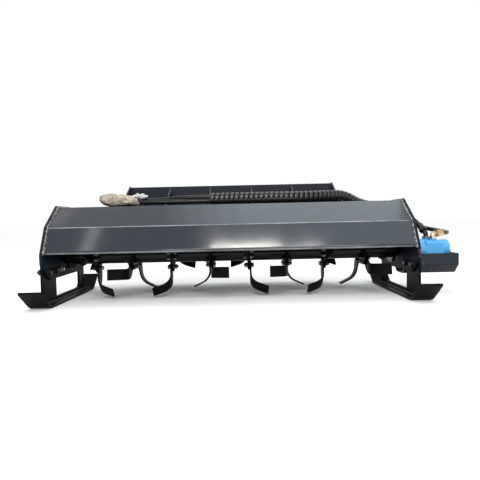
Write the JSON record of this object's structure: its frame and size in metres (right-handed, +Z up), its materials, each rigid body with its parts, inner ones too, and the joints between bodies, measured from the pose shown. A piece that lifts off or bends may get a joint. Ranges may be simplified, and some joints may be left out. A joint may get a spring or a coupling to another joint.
{
  "type": "rotary tiller attachment",
  "caption": "Loader-mounted hydraulic rotary tiller: bent-plate hood on skids over a rotor of curved tines, driven by a side motor, with hoses laid along the top.",
  "frame": {"origin": "bottom centre of the machine's box, on the floor under the skids, with the free hoses left out", "axes": "+X along the rotor towards the hydraulic motor, +Y forward towards the loader, +Z up"},
  "size_m": [1.9897, 0.784, 0.57],
  "materials": {
    "charcoal_paint": "satin gloss",
    "cast_housing": "satin",
    "zinc_plating": "satin",
    "wrap_film": "crumpled",
    "hose_rubber": "satin",
    "yellow_plating": "satin",
    "dark_plating": "satin",
    "guard_plastic": "satin",
    "motor_paint": "gloss",
    "black_paint": "satin",
    "tine_steel": "satin"
  },
  "bodies": {
    "frame": {"attach_gussets": "charcoal_paint", "attach_hook": "charcoal_paint", "attach_plate": "charcoal_paint", "attach_shelf": "charcoal_paint", "bearing_left": "cast_housing", "coupler_a": "zinc_plating", "coupler_b": "zinc_plating", "coupler_wrap": "wrap_film", "end_plate_left": "charcoal_paint", "end_plate_right": "charcoal_paint", "hood_shell": "charcoal_paint", "hose_a": "hose_rubber", "hose_b": "hose_rubber", "hose_end_a": "yellow_plating", "hose_end_b": "dark_plating", "hose_sleeve": "guard_plastic", "motor_adapter": "charcoal_paint", "motor_cover": "motor_paint", "motor_front": "motor_paint", "motor_gerotor": "motor_paint", "motor_guard": "charcoal_paint", "motor_valve_block": "motor_paint", "port_adapters": "zinc_plating", "skid_runner_left": "black_paint", "skid_runner_right": "black_paint", "skid_web_left": "black_paint", "skid_web_right": "black_paint"},
    "rotor": {"rotor_flanges": "black_paint", "rotor_shaft": "black_paint", "tines_left_hand": "tine_steel", "tines_right_hand": "tine_steel"}
  },
  "joints": [
    {"name": "rotor_spin", "type": "hinge", "parent": "frame", "child": "rotor", "pos_m": [-0.098, -0.037, 0.206], "axis": [1, 0, 0], "continuous": true}
  ]
}
